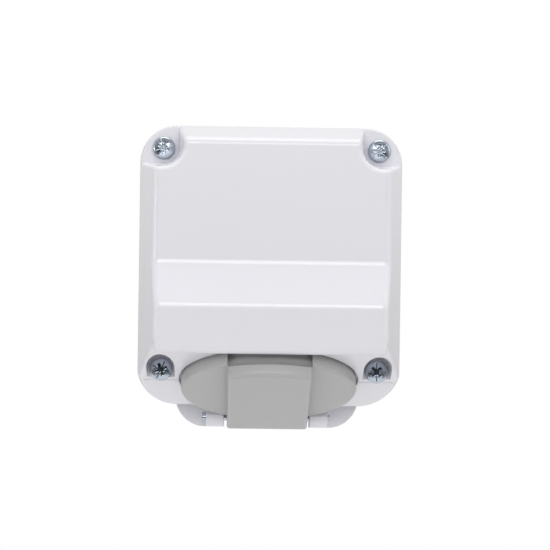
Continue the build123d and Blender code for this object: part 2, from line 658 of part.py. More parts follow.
def make_lid():
    """Round lid with a raised band, a thumb edge in front and a hinge knuckle behind."""
    shell = axis_disc(LID_R, -LID_RIM, 0)
    shell = fillet(shell.edges().filter_by(GeomType.CIRCLE).sort_by(OUTLET_AXIS)[-1], LID_EDGE_R)
    rear = Rectangle(BAND_WIDTH, BAND_TAIL, align=(Align.CENTER, Align.MAX))
    band = extrude(OUTLET.offset(-LID_RIM) * (band_sheet(0, 0) + rear), LID_RIM + BAND_RISE)
    corner_reach = BAND_FRONT - BAND_FRONT_R + sqrt(BAND_FRONT_R**2 - BAND_HALF**2)
    uprights = band.edges().filter_by(OUTLET_AXIS)
    ends = [OUTLET.from_local_coords((side * BAND_HALF, corner_reach, 0)) for side in (-1, 1)]
    band = fillet([uprights.sort_by_distance(end)[0] for end in ends], BAND_CORNER_R)
    band = fillet(band.faces().sort_by(OUTLET_AXIS)[-1].edges(), BAND_EDGE_R)
    slope = KNUCKLE_R / sqrt(2)
    tail_face = make_face(
        Polyline(
            (-BAND_TAIL, BAND_RISE - BAND_EDGE_R),
            (-PIN_BACK - slope, PIN_LEVEL + slope),
            (-PIN_BACK, PIN_LEVEL - KNUCKLE_R),
            (-BAND_TAIL + KNUCKLE_R, PIN_LEVEL - KNUCKLE_R),
            (-BAND_TAIL + KNUCKLE_R, BAND_RISE - BAND_EDGE_R),
            close=True,
        )
    )
    knuckle = side_slab(tail_face, -BAND_HALF, BAND_HALF) + pin_disc(KNUCKLE_R, -BAND_HALF, BAND_HALF)
    lid = shell + band + knuckle
    hollow = axis_disc(LID_R - LID_WALL, -LID_RIM, -LID_PLATE)
    keep = axis_box(-BAND_HALF, BAND_HALF, -FAR, FAR, -LID_RIM, -LID_PLATE)
    keep -= axis_disc(LID_SEAL_OUTER_R + SEAL_CLEARANCE, -LID_RIM, -LID_PLATE)
    band_hollow = axis_disc(LID_SEAL_INNER_R, -LID_PLATE, BAND_RISE - BAND_SKIN) & axis_box(
        -BAND_HALF + BAND_SKIN, BAND_HALF - BAND_SKIN, -FAR, FAR, -LID_PLATE, BAND_RISE - BAND_SKIN
    )
    lid -= hollow - keep
    lid -= grip_groove()
    lid -= band_hollow
    half_window = SPRING_WINDOW / 2
    lid -= axis_box(
        -half_window, half_window, -FAR, -BAND_TAIL + BAND_SKIN, -LID_RIM - FAR, SPRING_WINDOW_TOP
    )
    lid -= spring_slot()
    lid -= pin_disc(PIN_R + PIN_RUN_CLEARANCE, -FAR, FAR)
    return lid


def make_lid_seal():
    """Rubber ring in the lid that lies on the outlet's rim."""
    low = RIM_LEVEL + LID_SEAL_GAP
    return axis_disc(LID_SEAL_OUTER_R, low, -LID_PLATE) - axis_disc(LID_SEAL_INNER_R, low, -LID_PLATE)


def make_hinge_pin():
    """Steel pin through both lugs and the lid's knuckle, headed on the left."""
    pin = pin_disc(PIN_R, -LUG_OUTER, LUG_OUTER + PIN_END)
    return pin + pin_disc(PIN_HEAD_R, -LUG_OUTER - PIN_HEAD_HEIGHT, -LUG_OUTER)


def spring_end():
    """Half the length of the lid spring's coil."""
    return SPRING_TURNS * SPRING_PITCH / 2


def spring_slot():
    """Slot in the band that takes the lid spring's moving leg."""
    reach = SPRING_WIRE_R + SPRING_SLOT_GAP
    level = PIN_LEVEL + SPRING_COIL_R
    return axis_box(
        spring_end() - reach,
        spring_end() + reach,
        -PIN_BACK,
        -PIN_BACK + SPRING_LEG + SPRING_SLOT_GAP,
        level - reach,
        level + reach,
    )


def wire_bar(start, direction, length, radius):
    """Straight piece of round wire."""
    return extrude(Plane(origin=start, z_dir=direction) * Circle(radius), length)


def make_lid_spring():
    """Torsion spring on the hinge pin: a heel under the box and a leg in the lid's band."""
    half = spring_end()
    path = Helix(SPRING_PITCH, 2 * half, SPRING_COIL_R, lefthand=True)
    wire = Plane(origin=path @ 0, z_dir=path % 0) * Circle(SPRING_WIRE_R)
    coil = OUTLET_SIDE * Pos(-PIN_BACK, PIN_LEVEL, -half) * Rot(0, 0, 180) * sweep(
        wire, path=path, is_frenet=True
    )
    leg_start = OUTLET_SIDE.from_local_coords(
        (-PIN_BACK - SPRING_END_ROOT, PIN_LEVEL + SPRING_COIL_R, half)
    )
    heel_start = OUTLET_SIDE.from_local_coords(
        (-PIN_BACK - SPRING_COIL_R, PIN_LEVEL + SPRING_END_ROOT, -half)
    )
    heel_length = (-BODY_DROP - SPRING_HEEL_GAP - heel_start.Z) / TILT_COS
    leg = wire_bar(leg_start, OUTLET.y_dir, SPRING_END_ROOT + SPRING_LEG, SPRING_END_R)
    heel = wire_bar(heel_start, -OUTLET.z_dir, heel_length, SPRING_END_R)
    return coil + leg + heel


def make_collar_seal():
    """Rubber ring round the outlet's neck, held between the box and the hood."""
    inner = CUP_R + SEAL_CLEARANCE
    outer = inner + COLLAR_SEAL_THICKNESS
    inside = UNDER_INNER_LEVEL - SEAL_CLEARANCE
    ring = axis_disc(outer, inside, POCKET_LEVEL)
    ring += axis_disc(outer + COLLAR_FLANGE, inside - COLLAR_FLANGE_THICKNESS, inside)
    return ring - axis_disc(inner, inside - COLLAR_FLANGE_THICKNESS, 0)


def ear():
    """Flat ear on the right of the outlet, square to the wall."""
    inner = (RECESS_R + CUP_R) / 2
    far = EAR_DEPTH + EAR_THICKNESS
    arm = wall_box(inner, EAR_X, EAR_DEPTH, far, EAR_Z - EAR_R, EAR_Z + EAR_R)
    arm += wall_rod(EAR_X, EAR_Z, EAR_R, EAR_DEPTH, far)
    return arm - wall_rod(EAR_X, EAR_Z, SOCKET_SCREW_R + EAR_CLEARANCE, EAR_DEPTH, far)


def make_cup():
    """Outlet moulding: round recess with guide ribs, pin holes and earth grooves."""
    cup = axis_disc(CUP_R, CUP_BACK_LEVEL, RIM_LEVEL)
    cup += both_sides(ear())
    cup -= axis_disc(RECESS_R, FLOOR_LEVEL, RIM_LEVEL)
    cup = fillet(cup.faces().sort_by(OUTLET_AXIS)[-1].edges(), CUP_RIM_R)
    rib = axis_box(
        RECESS_R - RIB_DEPTH,
        (RECESS_R + CUP_R) / 2,
        -RIB_WIDTH / 2,
        RIB_WIDTH / 2,
        FLOOR_LEVEL,
        RIM_LEVEL - RIB_TOP_GAP,
    )
    cup += both_sides(rib)
    half = EARTH_WIDTH / 2 + EARTH_GROOVE_GAP
    inner = EARTH_INNER - EARTH_BEND - EARTH_GROOVE_GAP
    outer = EARTH_OUTER + EARTH_GROOVE_GAP
    for rear, front in ((inner, outer), (-outer, -inner)):
        cup -= axis_box(-half, half, rear, front, CUP_BACK_LEVEL, 0)
    for x in (-PIN_PITCH / 2, PIN_PITCH / 2):
        cup -= axis_disc(PIN_HOLE_R, CUP_BACK_LEVEL, FLOOR_LEVEL, x)
    cup -= axis_disc(CENTRE_R + CENTRE_HOLE_CLEARANCE, CUP_BACK_LEVEL, FLOOR_LEVEL)
    return cup - axis_disc(
        CENTRE_HEAD_R + CENTRE_HOLE_CLEARANCE, FLOOR_LEVEL - CENTRE_HEAD_HEIGHT, FLOOR_LEVEL
    )


def make_carrier():
    """Rear moulding that holds the pin sleeves and the shutter."""
    carrier = axis_disc(CARRIER_R, CARRIER_BACK_LEVEL, CUP_BACK_LEVEL)
    room = axis_disc(SHUTTER_R + SHUTTER_CLEARANCE, SHUTTER_ROOM_LEVEL, CUP_BACK_LEVEL)
    coil_outer = SHUTTER_COIL_R + SHUTTER_COIL_SIDE
    room += axis_disc(coil_outer, SHUTTER_ROOM_LEVEL - SHUTTER_COIL_ROOM, SHUTTER_ROOM_LEVEL)
    carrier -= room - axis_disc(POST_R, CARRIER_BACK_LEVEL, CUP_BACK_LEVEL)
    for x in (-PIN_PITCH / 2, PIN_PITCH / 2):
        carrier -= axis_disc(SLEEVE_R + SLEEVE_POCKET_GAP, CARRIER_BACK_LEVEL, SHUTTER_ROOM_LEVEL, x)
    tang_end = shutter_coil_level() - SHUTTER_TANG - SHUTTER_TANG_GAP
    carrier -= tang_hole(tang_end, SHUTTER_ROOM_LEVEL)
    screw_end = FLOOR_LEVEL - CENTRE_HEAD_HEIGHT - CENTRE_LENGTH - CENTRE_R
    return carrier - axis_disc(CENTRE_R + CENTRE_CLEARANCE, screw_end, CUP_BACK_LEVEL)


def terminal_block(x, low):
    """Brass terminal: a wire hole from the back and a clamp screw's hole from the front."""
    top = low - BLOCK_HEIGHT
    half_width = BLOCK_WIDTH / 2
    half_span = BLOCK_SPAN / 2
    block = axis_box(x - half_width, x + half_width, -half_span, half_span, top, low)
    block -= axis_disc(WIRE_HOLE_R, top, top + WIRE_HOLE_DEPTH, x, -WIRE_HOLE_BACK)
    return block - clamp_rod(x, low, CLAMP_R + CLAMP_CLEARANCE, -WIRE_HOLE_BACK, half_span)


def clamp_rod(x, low, radius, rear, front):
    """Round bar along a clamp screw's axis, half way up its terminal."""
    place = Plane(
        origin=OUTLET.from_local_coords((x, rear, low - BLOCK_HEIGHT / 2)), z_dir=OUTLET.y_dir
    )
    return extrude(place * Circle(radius), front - rear)


def pin_contact(x):
    """Brass sleeve that grips one pin, with its terminal behind the carrier."""
    start = SHUTTER_ROOM_LEVEL - SLEEVE_START_GAP
    sleeve = axis_disc(SLEEVE_R, CARRIER_BACK_LEVEL, start, x)
    sleeve -= axis_disc(SLEEVE_BORE_R, CARRIER_BACK_LEVEL, start, x)
    slit = axis_box(
        x - SLEEVE_SLIT / 2, x + SLEEVE_SLIT / 2, -FAR, FAR, CARRIER_BACK_LEVEL + SLEEVE_R, start
    )
    return sleeve - slit + terminal_block(x, CARRIER_BACK_LEVEL)


def make_earth_strap():
    """Brass strap round the carrier, with a sprung clip in each side of the recess."""
    clip_top = RIM_LEVEL - RIB_TOP_GAP
    bend_top = (clip_top + FLOOR_LEVEL) / 2
    bend_side = EARTH_INNER - EARTH_BEND
    clip_side = bend_side + EARTH_FLARE
    clip = make_face(
        Polyline(
            (EARTH_INNER, EARTH_BRIDGE_LEVEL),
            (EARTH_INNER, FLOOR_LEVEL),
            (bend_side, bend_top),
            (clip_side, clip_top),
            (clip_side + EARTH_THICKNESS, clip_top),
            (bend_side + EARTH_THICKNESS, bend_top),
            (EARTH_OUTER, FLOOR_LEVEL),
            (EARTH_OUTER, EARTH_BRIDGE_LEVEL),
            close=True,
        )
    )
    half = EARTH_WIDTH / 2
    strap = side_slab(clip, -half, half) + side_slab(mirror(clip, about=Plane.YZ), -half, half)
    strap += axis_box(-half, half, -EARTH_OUTER, EARTH_OUTER, EARTH_BRIDGE_LEVEL, CARRIER_BACK_LEVEL)
    return strap + terminal_block(0, EARTH_BRIDGE_LEVEL)


def make_terminal_screws():
    """The three wire clamp screws, slotted."""
    places = (
        (-PIN_PITCH / 2, CARRIER_BACK_LEVEL),
        (0, EARTH_BRIDGE_LEVEL),
        (PIN_PITCH / 2, CARRIER_BACK_LEVEL),
    )
    seat = BLOCK_SPAN / 2
    head_top = seat + CLAMP_HEAD_HEIGHT
    screws = []
    for x, low in places:
        screw = clamp_rod(x, low, CLAMP_R, seat - CLAMP_LENGTH, seat)
        screw += clamp_rod(x, low, CLAMP_HEAD_R, seat, head_top)
        screw -= axis_box(
            x - CLAMP_SLOT / 2,
            x + CLAMP_SLOT / 2,
            head_top - CLAMP_SLOT_DEPTH,
            head_top,
            low - BLOCK_HEIGHT,
            low,
        )
        screws.append(screw)
    return Compound(children=screws)


def make_centre_screw():
    """Screw in the recess floor that holds the two outlet mouldings together."""
    seat = FLOOR_LEVEL - CENTRE_HEAD_HEIGHT
    screw = pan_screw(
        CENTRE_R, CENTRE_LENGTH, CENTRE_HEAD_R, CENTRE_HEAD_HEIGHT, CENTRE_CROWN, CENTRE_EDGE_R
    )
    return OUTLET.offset(seat) * screw


def make_shutter():
    """Round safety shutter that turns on the carrier's post to clear the pin holes."""
    low = SHUTTER_ROOM_LEVEL + SHUTTER_FACE_GAP
    high = CUP_BACK_LEVEL - SHUTTER_FACE_GAP
    shutter = axis_disc(SHUTTER_R, low, high) - axis_disc(POST_R + POST_CLEARANCE, low, high)
    turn = radians(SHUTTER_TURN)
    reach = PIN_PITCH / 2
    for side in (-1, 1):
        shutter -= axis_disc(WINDOW_R, low, high, side * reach * cos(turn), side * reach * sin(turn))
    return shutter - tang_hole(low, high)


def shutter_coil_level():
    """Level at which the shutter spring's coil begins, just clear of its room's floor."""
    return SHUTTER_ROOM_LEVEL - SHUTTER_COIL_ROOM + SHUTTER_WIRE_R + SHUTTER_FACE_GAP


def tang_hole(low, high):
    """Small hole that takes a bent end of the shutter spring."""
    return axis_disc(SHUTTER_TANG_R + SHUTTER_TANG_GAP, low, high, SHUTTER_COIL_R)


def make_shutter_spring():
    """Small torsion spring on the carrier's post, below the shutter."""
    overlap = degrees(SHUTTER_WIRE_R / SHUTTER_COIL_R)  # wire left beyond each bent end
    height = (SHUTTER_COIL_TURNS + 2 * overlap / 360) * SHUTTER_COIL_PITCH
    path = Helix(SHUTTER_COIL_PITCH, height, SHUTTER_COIL_R)
    wire = Plane(origin=path @ 0, z_dir=path % 0) * Circle(SHUTTER_WIRE_R)
    low = shutter_coil_level()
    spring = OUTLET.offset(low) * Rot(0, 0, -overlap) * sweep(wire, path=path, is_frenet=True)
    for level, side in ((low, -1), (low + height, 1)):
        start = OUTLET.from_local_coords((SHUTTER_COIL_R, 0, level))
        spring += wire_bar(start, OUTLET.z_dir * side, SHUTTER_TANG, SHUTTER_TANG_R)
    return spring


pieces = {
    "base_box": make_base(),
    "cover": make_cover(),
    "cover_gasket": gasket_ring(GASKET_CLEARANCE),
    "cover_screws": make_cover_screws(),
    "cable_grommet": make_grommet(),
    "lid": make_lid(),
    "lid_seal": make_lid_seal(),
    "hinge_pin": make_hinge_pin(),
    "lid_spring": make_lid_spring(),
    "collar_seal": make_collar_seal(),
    "socket_cup": make_cup(),
    "socket_screws": make_socket_screws(),
    "contact_carrier": make_carrier(),
    "centre_screw": make_centre_screw(),
    "live_contact": pin_contact(-PIN_PITCH / 2),
    "neutral_contact": pin_contact(PIN_PITCH / 2),
    "earth_strap": make_earth_strap(),
    "terminal_screws": make_terminal_screws(),
    "shutter": make_shutter(),
    "shutter_spring": make_shutter_spring(),
}

os.makedirs("parts", exist_ok=True)
for name, piece in pieces.items():
    export_step(piece, f"parts/{name}.step")
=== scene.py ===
import json
from math import pi, radians

import bpy
import numpy as np
from mathutils import Matrix, Vector


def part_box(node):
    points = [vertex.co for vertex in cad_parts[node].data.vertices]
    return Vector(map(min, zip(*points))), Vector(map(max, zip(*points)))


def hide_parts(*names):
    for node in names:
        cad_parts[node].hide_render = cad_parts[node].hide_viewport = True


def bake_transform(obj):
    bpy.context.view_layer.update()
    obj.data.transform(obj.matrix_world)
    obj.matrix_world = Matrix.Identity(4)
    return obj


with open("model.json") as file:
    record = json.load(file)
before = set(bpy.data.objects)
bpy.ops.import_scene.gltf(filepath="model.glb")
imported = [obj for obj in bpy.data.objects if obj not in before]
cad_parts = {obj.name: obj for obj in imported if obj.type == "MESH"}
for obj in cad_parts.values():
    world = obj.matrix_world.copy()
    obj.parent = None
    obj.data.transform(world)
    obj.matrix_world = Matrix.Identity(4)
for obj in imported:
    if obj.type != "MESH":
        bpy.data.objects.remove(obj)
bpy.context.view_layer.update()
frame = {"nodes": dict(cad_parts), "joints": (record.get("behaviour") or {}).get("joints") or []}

# Back box.
# A white tray injection-moulded in one piece with its hinge skirt, and screwed flat to the wall.
# Its skin is the mould's fine spark-eroded grain, a little cloudy from the flow and rubbed at the edges.


class Shade:
    """An output socket of a shader tree, used like a number.

    An operator adds a Math node: ADD, SUBTRACT or MULTIPLY, with a number on either side.
    """

    def __init__(self, tree, socket=None):
        self.tree = tree
        self.socket = socket

    def node(self, kind, settings=None, sockets=None, output=0):
        """Adds a node of any kind: its settings first, then the values or links of its sockets."""
        made = self.tree.nodes.new(kind)
        for name, value in (settings or {}).items():
            setattr(made, name, value)
        for name, value in (sockets or {}).items():
            if isinstance(value, Shade):
                self.tree.links.new(value.socket, made.inputs[name])
            else:
                made.inputs[name].default_value = value
        return Shade(self.tree, made.outputs[output] if len(made.outputs) else None)

    def _math(self, operation, first, second):
        return self.node("ShaderNodeMath", {"operation": operation}, {0: first, 1: second})

    def __add__(self, other):
        return self._math("ADD", self, other)

    def __radd__(self, other):
        return self._math("ADD", other, self)

    def __sub__(self, other):
        return self._math("SUBTRACT", self, other)

    def __rsub__(self, other):
        return self._math("SUBTRACT", other, self)

    def __mul__(self, other):
        return self._math("MULTIPLY", self, other)

    def __rmul__(self, other):
        return self._math("MULTIPLY", other, self)

    def clamped(self):
        """The value held between 0 and 1."""
        return self.node("ShaderNodeClamp", None, {"Value": self})

    def step(self, low, high):
        """A smooth rise from 0 at one value to 1 at another."""
        sockets = {"Value": self, "From Min": low, "From Max": high}
        return self.node("ShaderNodeMapRange", {"interpolation_type": "SMOOTHSTEP"}, sockets)

    def place(self):
        """The point on the piece, in metres."""
        return self.node("ShaderNodeTexCoord", output="Object")

    def noise(self, size, detail=2.0, stretch=(1, 1, 1)):
        """Soft noise from 0 to 1 whose lumps are about size metres across, stretched along an axis."""
        mapped = self.node("ShaderNodeMapping", None, {"Vector": self.place(), "Scale": stretch})
        sockets = {"Vector": mapped, "Scale": 1 / size, "Detail": detail}
        return self.node("ShaderNodeTexNoise", None, sockets)

    def between(self, low, high):
        """A colour between two others, by this value."""
        sockets = {0: self, 6: (*low, 1), 7: (*high, 1)}
        return self.node("ShaderNodeMix", {"data_type": "RGBA"}, sockets, output=2)

    def eased(self, radius):
        """The surface's direction with its edges eased by a radius in metres."""
        samples = 6
        return self.node("ShaderNodeBevel", {"samples": samples}, {"Radius": radius})

    def rubbed(self, radius):
        """A mask of the edges, from how far the eased direction leans from the true one."""
        slight, full = 0.02, 0.25
        true = self.node("ShaderNodeNewGeometry", output="Normal")
        sockets = {0: self.eased(radius), 1: true}
        lean = self.node("ShaderNodeVectorMath", {"operation": "DOT_PRODUCT"}, sockets, output="Value")
        return (1 - lean).step(slight, full)

    def relief(self, depth, radius):
        """A direction roughened by this height times a depth in metres, over edges eased by a radius."""
        sockets = {"Height": self, "Distance": depth, "Normal": self.eased(radius)}
        return self.node("ShaderNodeBump", None, sockets)


def finish_of(name):
    """An empty material and the tool that writes its shader."""
    material = bpy.data.materials.new(name)
    material.use_nodes = True
    material.node_tree.nodes.clear()
    return material, Shade(material.node_tree)


def surface(shade, fixed, **varying):
    """The surface shader: values that are the same all over, and those that change from place to place."""
    sockets = {**fixed, **{name.replace("_", " "): value for name, value in varying.items()}}
    shader = shade.node("ShaderNodeBsdfPrincipled", None, sockets)
    shade.node("ShaderNodeOutputMaterial", None, {"Surface": shader})


def dress(node, material):
    """Gives a solid of the frame its finish."""
    mesh = frame["nodes"][node].data
    mesh.materials.clear()
    mesh.materials.append(material)


def tinted(colour, share):
    """A colour made lighter or darker by a share of itself."""
    return [channel * (1 + share) for channel in colour]


PLASTIC_IOR = 1.5
CLOUD_SIZE = 0.028
PATCH_SIZE = 0.009
SKIN_SIZE = 0.00022
EDGE_BRIGHTENING = 0.6
PATCH_ROUGHNESS = 0.03
SKIN_ROUGHNESS = 0.06
EDGE_ROUGHNESS = 0.06


def moulded(name, colour, tint, grain, roughness, edge):
    """Moulded plastic: a cloudy colour, grain of a depth in metres, satin patches and rubbed edges."""
    material, shade = finish_of(name)
    cloud = shade.noise(CLOUD_SIZE, detail=3.0)
    skin = shade.noise(SKIN_SIZE, detail=1.0)
    patch = shade.noise(PATCH_SIZE)
    worn = shade.rubbed(edge)
    pale = (cloud + EDGE_BRIGHTENING * worn).clamped()
    surface(
        shade,
        {"IOR": PLASTIC_IOR},
        Base_Color=pale.between(tinted(colour, -tint), tinted(colour, tint)),
        Roughness=roughness
        + PATCH_ROUGHNESS * (patch - 0.5)
        + SKIN_ROUGHNESS * (skin - 0.5)
        - EDGE_ROUGHNESS * worn,
        Normal=skin.relief(grain, edge),
    )
    return material


white_plastic = moulded(
    "white_moulded_plastic", (0.735, 0.727, 0.768), tint=0.012, grain=0.000004, roughness=0.22, edge=0.0005
)
dress("base_box", white_plastic)

# Cable membrane.
# A black rubber grommet pressed into the rear cable entry, with a cone that is cut to the cable.
# Rubber comes from its mould dull, with a bloom of grey dust.
RUBBER_BLACK = (0.018, 0.018, 0.019)
RUBBER_IOR = 1.5
RUBBER_SHEEN = 0.3
RUBBER_ROUGHNESS = 0.66
DUST_ROUGHNESS = 0.2
DUST_SIZE = 0.004
PORE_SIZE = 0.0003
PORE_DEPTH = 0.00003
RUBBER_EDGE = 0.0002


def rubber(name, bloom):
    """Black rubber with a grey bloom of a given strength."""
    material, shade = finish_of(name)
    dust = shade.noise(DUST_SIZE, detail=4.0)
    pores = shade.noise(PORE_SIZE)
    surface(
        shade,
        {"IOR": RUBBER_IOR, "Specular IOR Level": RUBBER_SHEEN},
        Base_Color=dust.between(RUBBER_BLACK, [RUBBER_BLACK[0] + bloom] * 3),
        Roughness=RUBBER_ROUGHNESS + DUST_ROUGHNESS * dust,
        Normal=pores.relief(PORE_DEPTH, RUBBER_EDGE),
    )
    return material


black_rubber = rubber("black_rubber", bloom=0.05)
dress("cable_grommet", black_rubber)

# Contact carrier and its brasswork.
# A black moulded block holds two slit brass sleeves, and a brass strap with earth clips runs round it.
# The brass is turned and stamped bright, and has dulled unevenly; the clamp screws are zinc plated.
STAIN_SIZE = 0.003
MARK_SIZE = 0.0002
MARK_DEPTH = 0.000006
METAL_EDGE = 0.00012
STAIN_ROUGHNESS = 0.16
MARK_ROUGHNESS = 0.12


def bright_metal(name, colour, tarnish, roughness, streaks):
    """Metal with uneven tarnish and fine tool marks, drawn out along the streaks."""
    material, shade = finish_of(name)
    stain = shade.noise(STAIN_SIZE, detail=4.0)
    marks = shade.noise(MARK_SIZE, stretch=streaks)
    surface(
        shade,
        {"Metallic": 1.0},
        Base_Color=stain.between(colour, tarnish),
        Roughness=roughness + STAIN_ROUGHNESS * (stain - 0.5) + MARK_ROUGHNESS * (marks - 0.5),
        Normal=marks.relief(MARK_DEPTH, METAL_EDGE),
    )
    return material


carrier_plastic = moulded(
    "black_moulded_plastic", (0.022, 0.022, 0.024), tint=0.2, grain=0.00002, roughness=0.5, edge=0.0003
)
dress("contact_carrier", carrier_plastic)
brass = bright_metal(
    "dulled_brass", (0.80, 0.60, 0.30), tarnish=(0.62, 0.42, 0.18), roughness=0.3, streaks=(1, 1, 0.1)
)
for piece in ("live_contact", "neutral_contact", "earth_strap"):
    dress(piece, brass)
zinc = bright_metal(
    "zinc_plate", (0.56, 0.61, 0.68), tarnish=(0.38, 0.43, 0.50), roughness=0.19, streaks=(1, 1, 1)
)
dress("terminal_screws", zinc)

# Safety shutter and its spring.
# A disc of natural nylon turns on the carrier's post to uncover the pin holes.
# A hair spring wound from bright steel wire lies behind it, one end in the carrier and one in the disc.
shutter_plastic = moulded(
    "natural_nylon", (0.80, 0.78, 0.70), tint=0.03, grain=0.000008, roughness=0.3, edge=0.0002
)
dress("shutter", shutter_plastic)
joints = {joint["name"]: joint for joint in frame["joints"]}
across = np.array((1.0, 0.0, 0.0))
outward = -np.array(joints["shutter_turn"]["axis"])
forward = np.cross(outward, across)
WIRE_SIDES = 14


def wire_rings(path, radial, radius):
    """Round wire carried along a path C(t): rings C + r (cos s N + sin s B).

    N is the direction away from the coil's axis, made square to the path's direction T, and B = T x N.
    """
    along = np.gradient(path, axis=0)
    along /= np.linalg.norm(along, axis=1, keepdims=True)
    normal = radial - along * np.sum(radial * along, axis=1, keepdims=True)
    normal /= np.linalg.norm(normal, axis=1, keepdims=True)
    turn = np.linspace(0, 2 * pi, WIRE_SIDES, endpoint=False)[None, :, None]
    ring = np.cos(turn) * normal[:, None] + np.sin(turn) * np.cross(along, normal)[:, None]
    return path[:, None] + radius * ring


def closed_tube(name, rings, material):
    """A mesh of rings joined by quads, with a flat face at each end."""
    count, sides = rings.shape[:2]
    index = np.arange(count * sides).reshape(count, sides)
    turned = np.roll(index, -1, axis=1)
    quads = np.stack([index[:-1], turned[:-1], turned[1:], index[1:]], axis=-1).reshape(-1, 4)
    faces = quads.tolist() + [index[0, ::-1].tolist(), index[-1].tolist()]
    mesh = bpy.data.meshes.new(name)
    mesh.from_pydata(rings.reshape(-1, 3).tolist(), [], faces)
    mesh.polygons.foreach_set("use_smooth", [True] * len(quads) + [False] * 2)
    mesh.materials.append(material)
    piece = bpy.data.objects.new(name, mesh)
    bpy.context.scene.collection.objects.link(piece)
    return piece


def frame_points(origin, x, y, level):
    """Points at distances across, forward and outward from an origin, as one array."""
    steps = np.stack(np.broadcast_arrays(x, y, level), axis=-1)
    return np.asarray(origin) + steps @ np.stack([across, forward, outward])


spring_steel = bright_metal(
    "drawn_spring_wire", (0.58, 0.58, 0.60), tarnish=(0.42, 0.42, 0.44), roughness=0.22, streaks=(1, 1, 1)
)
HAIR_WIRE_RADIUS = 0.00025
HAIR_COIL_RADIUS = 0.0042
HAIR_COIL_TURNS = 2
HAIR_COIL_START = -0.0291
HAIR_COIL_HEIGHT = 0.00125
HAIR_BEND_RADIUS = 0.0004
HAIR_END = 0.0016
HAIR_COIL_POINTS = 150
HAIR_BEND_POINTS = 9
HAIR_END_POINTS = 3
hair_top = HAIR_COIL_START + HAIR_COIL_HEIGHT
bend = np.linspace(0, pi / 2, HAIR_BEND_POINTS)
spare = HAIR_BEND_RADIUS / HAIR_COIL_RADIUS
swing = np.linspace(spare, 2 * pi * HAIR_COIL_TURNS - spare, HAIR_COIL_POINTS)
hair_straight = np.zeros(HAIR_END_POINTS)
hair_end_turn = np.zeros(HAIR_END_POINTS + HAIR_BEND_POINTS)
hair_end_x = np.full(len(hair_end_turn), HAIR_COIL_RADIUS)
hair_x = np.concatenate([hair_end_x, HAIR_COIL_RADIUS * np.cos(swing), hair_end_x])
hair_y = np.concatenate(
    [
        hair_straight,
        HAIR_BEND_RADIUS * (1 - np.cos(bend)),
        HAIR_COIL_RADIUS * np.sin(swing),
        HAIR_BEND_RADIUS * (np.sin(bend) - 1),
        hair_straight,
    ]
)
hair_level = np.concatenate(
    [
        HAIR_COIL_START - np.linspace(HAIR_END, HAIR_BEND_RADIUS, HAIR_END_POINTS, endpoint=False),
        HAIR_COIL_START - HAIR_BEND_RADIUS * (1 - np.sin(bend)),
        np.linspace(HAIR_COIL_START, hair_top, len(swing)),
        hair_top + HAIR_BEND_RADIUS * (1 - np.cos(bend)),
        hair_top + np.linspace(HAIR_END, HAIR_BEND_RADIUS, HAIR_END_POINTS, endpoint=False)[::-1],
    ]
)
radial = np.concatenate([hair_end_turn, swing, hair_end_turn])
hair_radial = frame_points((0, 0, 0), np.cos(radial), np.sin(radial), np.zeros(len(radial)))
outlet_place = joints["shutter_turn"]["pos_m"]
hair_path = frame_points(outlet_place, hair_x, hair_y, hair_level)
hair_rings = wire_rings(hair_path, hair_radial, HAIR_WIRE_RADIUS)
hair_spring = closed_tube("shutter_hair_spring", hair_rings, spring_steel)
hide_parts("shutter_spring")
frame_points(outlet_place, 0, 0, HAIR_COIL_START)
frame_points(outlet_place, 0, 0, hair_top)
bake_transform(hair_spring)

# Outlet.
# A grey moulding with a round recess, guide ribs and earth grooves, screwed to two bosses in the box.
# It is smoother than the housing, so that plugs slide in.
outlet_plastic = moulded(
    "outlet_plastic", (0.30, 0.31, 0.33), tint=0.03, grain=0.000006, roughness=0.28, edge=0.0003
)
dress("socket_cup", outlet_plastic)
for piece in ("centre_screw", "socket_screws"):
    dress(piece, zinc)

# Collar and seam seals.
# A moulded rubber collar lies round the outlet's neck, and a strip lies in the seam under the hood.
# Both are squeezed when the hood is screwed down.
for piece in ("collar_seal", "cover_gasket"):
    dress(piece, black_rubber)

# Hood.
# The white front shell, moulded with draft from the same plastic as the box.
# It hangs over the lid and is held by four screws that pass through its corner pads.
dress("cover", white_plastic)

# Hood screws.
# Steel pan heads with a cross recess and fine ticks between its arms, cold-headed and zinc plated.
# They cut their own thread in the box's pillars, and each stopped at a turn of its own.
dress("cover_screws", zinc)

# Lid and its seal.
# A grey round lid moulded with a raised band that ends in a thumb edge in front and a knuckle behind.
# A flat rubber ring inside it lies on the outlet's rim.
grey_plastic = moulded(
    "grey_moulded_plastic", (0.40, 0.40, 0.40), tint=0.02, grain=0.000014, roughness=0.38, edge=0.0004
)
dress("lid", grey_plastic)
dress("lid_seal", black_rubber)

# Hinge pin and lid spring.
# A headed steel pin runs through the box's two lugs and the lid's knuckle.
# The torsion spring round it has its heel under the box and its leg in the lid's band, and shuts the lid.
dress("hinge_pin", zinc)
SPRING_WIRE_RADIUS = 0.0004
SPRING_COIL_RADIUS = 0.0022
SPRING_TURNS = 9.25
SPRING_PITCH = 0.00095
SPRING_LEG = 0.008
SPRING_COIL_POINTS = 300
SPRING_END_POINTS = 12
spring_half = SPRING_TURNS * SPRING_PITCH / 2
hinge_place = np.array(joints["lid_hinge"]["pos_m"])
heel_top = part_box("lid_spring")[1].z
heel_low = frame_points(hinge_place, 0, -SPRING_COIL_RADIUS, 0)[2]
heel_length = (heel_top - heel_low + SPRING_WIRE_RADIUS * outward[1]) / -outward[2]
stretch = np.linspace(0, 1, SPRING_END_POINTS, endpoint=False)
same = np.ones(SPRING_END_POINTS)
coil_turn = np.linspace(pi, pi - 2 * pi * SPRING_TURNS, SPRING_COIL_POINTS)
spring_x = np.concatenate(
    [-spring_half * same, np.linspace(-spring_half, spring_half, SPRING_COIL_POINTS), spring_half * same]
)
